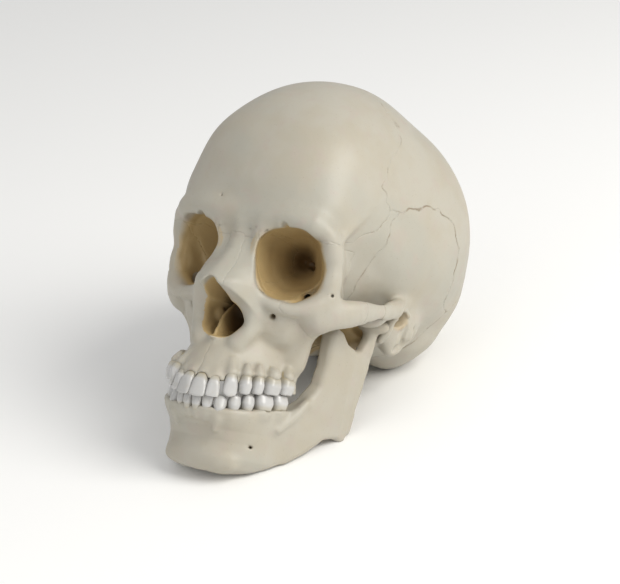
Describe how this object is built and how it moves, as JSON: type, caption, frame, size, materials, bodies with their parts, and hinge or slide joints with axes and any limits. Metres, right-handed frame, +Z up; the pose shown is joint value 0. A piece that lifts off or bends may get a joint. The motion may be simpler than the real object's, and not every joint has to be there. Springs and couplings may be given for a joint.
{
  "type": "human skull",
  "caption": "A life-size human skull with its lower jaw in place and its teeth closed, lying on its jaw and nape as on a table, for drawing, study or display.",
  "frame": {"origin": "on the floor under the middle of the skull as it lies, halfway along and across its box", "axes": "+X to the skull's own left, +Y from the face towards the back of the head, +Z up from the floor"},
  "size_m": [0.1368, 0.2244, 0.1671],
  "materials": {
    "bone": "smooth ivory bone with a soft sheen, browner in the eye sockets and nose, with paler teeth"
  },
  "bodies": {
    "root": {"mandible": "bone", "nasal": "bone", "zygomatic_left": "bone", "zygomatic_right": "bone", "vomer": "bone", "maxilla_left": "bone", "maxilla_right": "bone", "frontal": "bone", "ethmoid": "bone", "parietal_left": "bone", "parietal_right": "bone", "temporal_left": "bone", "temporal_right": "bone", "occipital": "bone", "sphenoid": "bone"}
  },
  "joints": []
}
